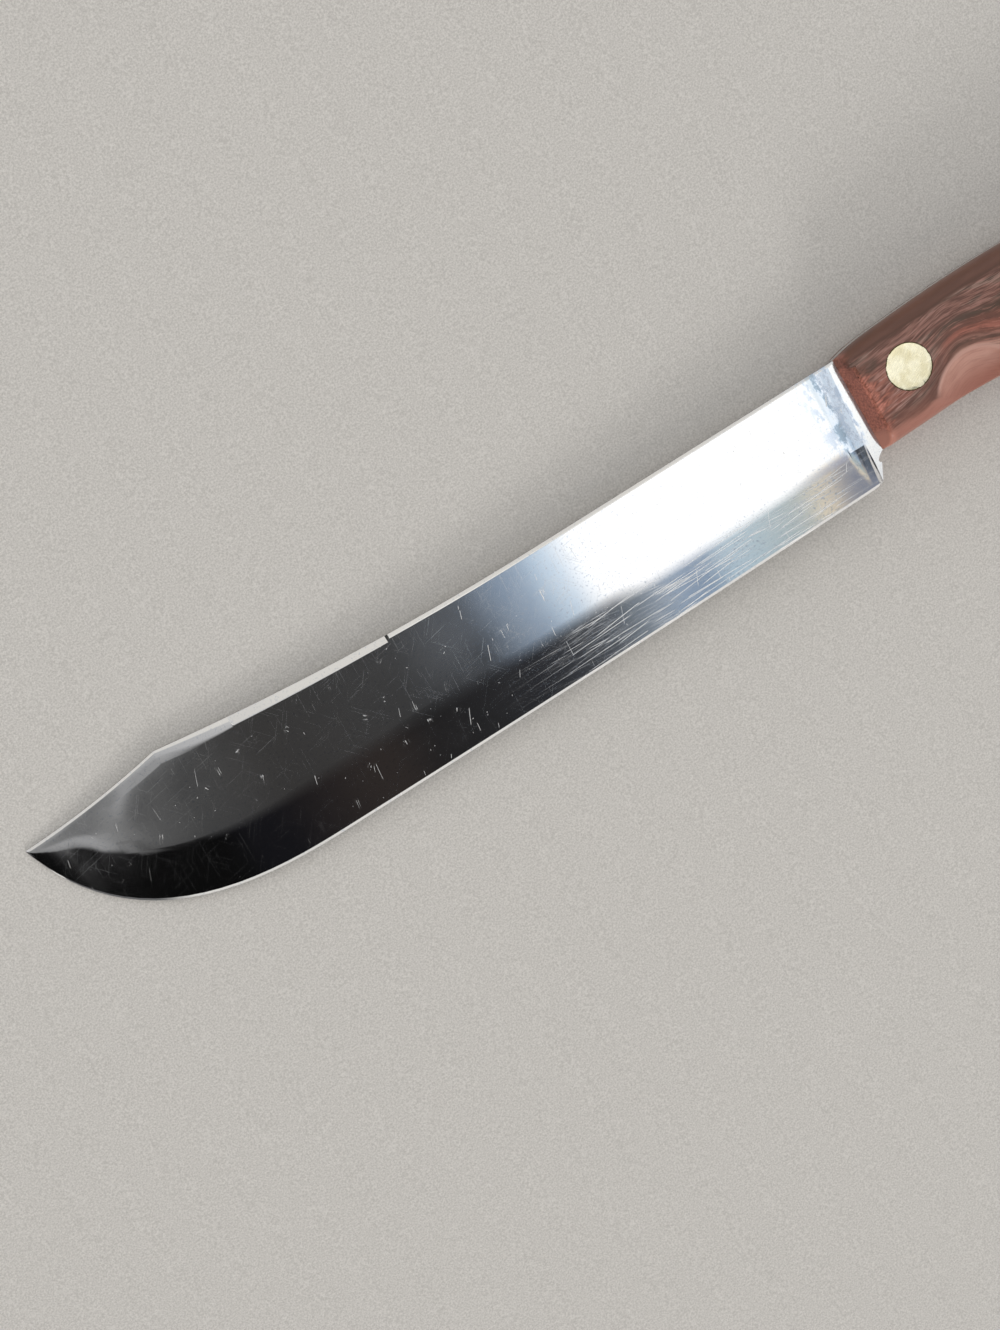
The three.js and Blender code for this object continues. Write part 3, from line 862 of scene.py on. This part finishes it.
# %% [markdown]
# ## Brass
# The rivet heads are ground flush with the wood and have dulled since: pale gold, finely scratched, with a
# thin dark ring of tarnish where the rim meets the wood. The ring is a second material on the faces of the
# broken rim, which are the ones up at the head that don't face straight up.

# %% Brass
brass, tree, shader, coords = start_material("brass")
cloud = noise(tree, coords, 3 * MM, 3, 0.55)
fine = noise(tree, coords, (1.2 * MM, 0.3 * MM, 1 * MM), 3, 0.6, 0.5)
tone = blend_colours(tree, ease_between(tree, cloud, 0.3, 0.7), rgb(214, 205, 172), rgb(234, 228, 202))
tree.links.new(tone, shader.inputs["Base Color"])
tree.links.new(ease_between(tree, fine, 0.3, 0.7, 0.24, 0.34), shader.inputs["Roughness"])
shader.inputs["Metallic"].default_value = 1.0
print(brass.name, len(tree.nodes), "nodes")

# %% Tarnish
FACES_UP = 0.93

tarnish, tree, shader, coords = start_material("brass_tarnish")
spots = noise(tree, coords, 1.1 * MM, 3, 0.6)
tone = blend_colours(tree, spots, rgb(66, 62, 36), rgb(128, 116, 66))
tree.links.new(tone, shader.inputs["Base Color"])
shader.inputs["Metallic"].default_value = 0.6
shader.inputs["Roughness"].default_value = 0.55

for rivet in rivets:
    rivet.data.materials.append(brass)
    rivet.data.materials.append(tarnish)
    for face in rivet.data.polygons:
        high = abs(face.center.z - middle_z) > HEAD_HEIGHT
        face.material_index = int(high and abs(face.normal.z) < FACES_UP)
    rim_faces = sum(face.material_index for face in rivet.data.polygons)
    print(rivet.name, rim_faces, "tarnished faces")

# %% [markdown]
# ## The floor
# The knife lies on the front of its handle and on its point, so the floor is a plane through those two
# places, sloping up a little towards the point. It is stage, not part of the knife.

# %% The floor
FLOOR_SIZE = 4.0
HANDLE_REST = Vector((handle_front + 4 * MM, 0, 0.2 * MM))
POINT_REST = Vector((blade_low.x, 0, middle_z - 0.55 * MM))

slope = math.atan2(POINT_REST.z - HANDLE_REST.z, HANDLE_REST.x - POINT_REST.x)
bpy.ops.object.select_all(action="DESELECT")
bpy.ops.mesh.primitive_plane_add(size=FLOOR_SIZE, location=HANDLE_REST, rotation=(0, slope, 0))
floor = bpy.context.object
floor.name = "floor"
bpy.ops.object.transform_apply(location=True, rotation=True, scale=True)

floor_paper, tree, shader, coords = start_material("floor_paper")
speckle = noise(tree, coords, 0.5 * MM, 3, 0.7)
paper = blend_colours(tree, ease_between(tree, speckle, 0.25, 0.75), rgb(185, 182, 178), rgb(221, 218, 214))
tree.links.new(paper, shader.inputs["Base Color"])
shader.inputs["Roughness"].default_value = 0.85
shader.inputs["Specular IOR Level"].default_value = 0.2
floor.data.materials.append(floor_paper)
print("floor slope", round(math.degrees(slope), 2), "degrees")

# %% [markdown]
# ## Light
# A mirror shows the room, so the light is painted as a ceiling seen from below: dark overhead, one large
# soft window over the heel end, and pale walls all round. A place on that ceiling is the direction
# divided by its height, which keeps straight borders straight in the flat of the blade. Across runs from
# the point to the handle, and towards runs from the edge to the spine. Lamps and cards would do as well,
# but a painted ceiling lets one place each dark and pale patch where the blade's faces look.

# %% Places on the ceiling
LOWEST = 0.05

world = bpy.data.worlds.new("studio")
bpy.context.scene.world = world
world.use_nodes = True
tree = world.node_tree
way = split(tree, add_node(tree, "ShaderNodeTexCoord").outputs["Generated"])
height = calc(tree, "MAXIMUM", way[2], LOWEST)
across = calc(tree, "DIVIDE", way[0], height)
towards = calc(tree, "DIVIDE", way[1], height)


def panel(left, right, low, high, blur):
    return product(
        tree,
        ease_between(tree, across, left - blur, left + blur),
        ease_between(tree, across, right + blur, right - blur),
        ease_between(tree, towards, low - blur, low + blur),
        ease_between(tree, towards, high + blur, high - blur),
    )


def grey(level):
    return (level, level, level, 1)


# %% [markdown]
# ## Strips of the ceiling
# Three strips run from the point's end to the handle's end: the one overhead, which the flat shows, the
# one on the edge's side, which the bevel shows, and the one on the spine's side, which the swedge and the
# clip show. Each is a colour ramp with its stops at places across the ceiling.

# %% Strips of the ceiling
LEFT, RIGHT = -0.6, 0.6


def strip(stops):
    places = [((place - LEFT) / (RIGHT - LEFT), colour) for place, colour in stops]
    return ramp(tree, share_between(tree, across, LEFT, RIGHT), places)


overhead = strip([
    (-0.455, grey(0.06)),
    (-0.42, grey(0.36)),
    (-0.38, grey(0.48)),
    (-0.34, grey(0.39)),
    (-0.28, grey(0.28)),
    (-0.25, grey(0.13)),
    (-0.22, grey(0.083)),
    (-0.16, (0.06, 0.058, 0.056, 1)),
    (-0.07, (0.066, 0.066, 0.066, 1)),
    (-0.01, (0.13, 0.14, 0.155, 1)),
    (0.035, (0.36, 0.46, 0.6, 1)),
    (0.065, (0.85, 1.05, 1.25, 1)),
    (0.085, grey(1.8)),
    (0.25, grey(1.8)),
    (0.28, (1.6, 1.62, 1.58, 1)),
])
edge_side = strip([
    (-0.2, (0.0105, 0.0105, 0.013, 1)),
    (-0.1, (0.042, 0.034, 0.031, 1)),
    (-0.06, (0.016, 0.015, 0.016, 1)),
    (0.02, (0.034, 0.036, 0.042, 1)),
    (0.06, (0.065, 0.07, 0.08, 1)),
    (0.08, (0.1, 0.11, 0.13, 1)),
    (0.1, (0.24, 0.28, 0.32, 1)),
    (0.136, (0.42, 0.53, 0.68, 1)),
    (0.16, (0.25, 0.35, 0.52, 1)),
    (0.173, (0.68, 0.86, 0.98, 1)),
    (0.235, (0.58, 0.69, 0.71, 1)),
    (0.258, (1.25, 1.06, 0.78, 1)),
    (0.275, (0.3, 0.33, 0.42, 1)),
])
spine_side = strip([
    (-0.55, grey(0.9)),
    (-0.36, grey(0.3)),
    (-0.3, grey(0.45)),
    (-0.2, grey(0.65)),
    (-0.1, (0.78, 0.78, 0.77, 1)),
    (-0.04, (1.15, 1.12, 1.07, 1)),
    (0.0, (1.4, 1.37, 1.3, 1)),
])
print("strips run from", LEFT, "to", RIGHT, "across the ceiling")

# %% [markdown]
# ## Patches on the ceiling
# The window hangs lower over the heel, so the border between the overhead and the edge's strip sinks
# there. Patches then go on in layers: first those between the strips, then the walls, and last the dark
# and dim corners by the point, which keep the belly black and its edge line thin.

# %% Borders that lean or sink
under_window = ease_between(tree, across, 0.085, 0.115, 0, 0.06)
before_heel = ease_between(tree, across, 0.26, 0.23)
at_clip = ease_between(tree, across, -0.33, -0.38, 0, 0.035)
sunk = calc(tree, "ADD", product(tree, under_window, before_heel), at_clip)
lower = calc(tree, "ADD", towards, sunk)
leaning = calc(tree, "SUBTRACT", towards, calc(tree, "MULTIPLY", across, 0.45))
wedge = product(
    tree,
    ease_between(tree, across, -0.1, -0.05),
    ease_between(tree, across, 0.03, -0.01),
    ease_between(tree, leaning, -0.105, -0.125),
)
dark_corner = strongest(
    tree,
    panel(-5, -0.24, -0.6, -0.192, 0.012),
    panel(-5, -0.403, -0.6, -0.165, 0.012),
    panel(-0.3, -0.235, -0.6, -0.14, 0.018),
)
dim_corner = calc(tree, "MAXIMUM", panel(-5, -0.22, -0.85, -0.4, 0.08), panel(-5, -0.75, -5, -0.4, 0.15))

# %% The painted ceiling
blue_gap = product(tree, panel(0.25, 0.5, -0.265, -0.205, 0.02), 0.7)
slate_below = panel(0.18, 0.6, -0.5, -0.348, 0.012)
dark_by_clip = product(tree, panel(-0.4, -0.3, -0.065, -0.005, 0.02), 0.45)
pale_by_clip = product(tree, panel(-0.275, -0.205, -0.07, 0.05, 0.012), 0.45)
dark_behind_point = panel(-2.2, -0.62, 0.05, 1.6, 0.06)
between_strips = [
    (ease_between(tree, lower, -0.25, -0.11), overhead),
    (blue_gap, (0.4, 0.45, 0.62, 1)),
    (product(tree, wedge, 0.5), grey(0.03)),
    (slate_below, (0.13, 0.155, 0.2, 1)),
    (ease_between(tree, across, -0.5, -0.7), grey(0.35)),
    (ease_between(tree, towards, -0.07, 0.03), spine_side),
    (dark_by_clip, grey(0.06)),
    (pale_by_clip, grey(0.75)),
]
walls = [
    (ease_between(tree, towards, 0.3, 0.55), (1.02, 0.99, 0.93, 1)),
    (ease_between(tree, across, -1.0, -1.4), grey(0.75)),
    (dark_behind_point, grey(0.04)),
    (ease_between(tree, across, 0.5, 0.7), grey(0.85)),
    (ease_between(tree, towards, -0.55, -0.75), (1.1, 1.07, 1.02, 1)),
]
corners = [
    (dim_corner, grey(0.2)),
    (dark_corner, grey(0.005)),
    (ease_between(tree, towards, 0.8, 1.2), grey(0.95)),
]
light = lay_over(tree, edge_side, between_strips + walls + corners)
tree.links.new(light, tree.nodes["Background"].inputs["Color"])
bpy.context.scene.view_settings.view_transform = "Standard"
print(world.name, len(tree.nodes), "nodes")

# %% [markdown]
# ## A low lamp
# The knife's shadow lies on the spine's side and is two to three times as long as the knife is high, so a
# broad lamp stands low on the edge's side. It also lights the scallop and the lower round of the handle.

# %% The low lamp
LAMP_RISE = math.radians(22)
LAMP_TURN = math.radians(18)
LAMP_BREADTH = math.radians(16)
LAMP_ENERGY = 0.95
LAMP_COLOUR = (1.0, 0.98, 0.95)

level = math.cos(LAMP_RISE)
to_lamp = Vector((-level * math.sin(LAMP_TURN), -level * math.cos(LAMP_TURN), math.sin(LAMP_RISE)))
bpy.ops.object.light_add(type="SUN", location=to_lamp, rotation=to_lamp.to_track_quat("Z", "Y").to_euler())
lamp = bpy.context.object
lamp.name = "low_lamp"
lamp.data.energy = LAMP_ENERGY
lamp.data.angle = LAMP_BREADTH
lamp.data.color = LAMP_COLOUR
print("lamp towards", tuple(to_lamp))

# %% [markdown]
# ## The camera
# The photograph looks almost straight down, leaning a little to the spine's side, with the knife turned
# so that it runs from lower left to upper right. The camera is placed by its own three axes, because the
# lean and the roll are then two plain angles.

# %% The camera
IMAGE_HEIGHT = 1330
FOCAL_PIXELS = 1500
SENSOR = 36
LEAN = math.radians(8)
ROLL = math.radians(32.06)
DISTANCE = 407.8 * MM
AIM_FROM_POINT = 134.9 * MM
AIM_BELOW_TOP = 30.2 * MM

aim = Vector((blade_low.x + AIM_FROM_POINT, blade_high.y - AIM_BELOW_TOP, middle_z))
lean = Matrix.Rotation(-LEAN, 3, "X")
right = lean @ Vector((math.cos(ROLL), -math.sin(ROLL), 0))
up = lean @ Vector((math.sin(ROLL), math.cos(ROLL), 0))
back = lean @ Vector((0, 0, 1))
spot = aim + DISTANCE * back
lens = bpy.data.cameras.new("camera")
lens.sensor_width = SENSOR
lens.lens = FOCAL_PIXELS * SENSOR / IMAGE_HEIGHT
camera = bpy.data.objects.new("camera", lens)
axes = Matrix((right, up, back)).transposed().to_4x4()
camera.matrix_world = Matrix.Translation(spot) @ axes
bpy.context.scene.collection.objects.link(camera)
bpy.context.scene.camera = camera
print("camera at", tuple(spot), "lens", round(lens.lens, 2))
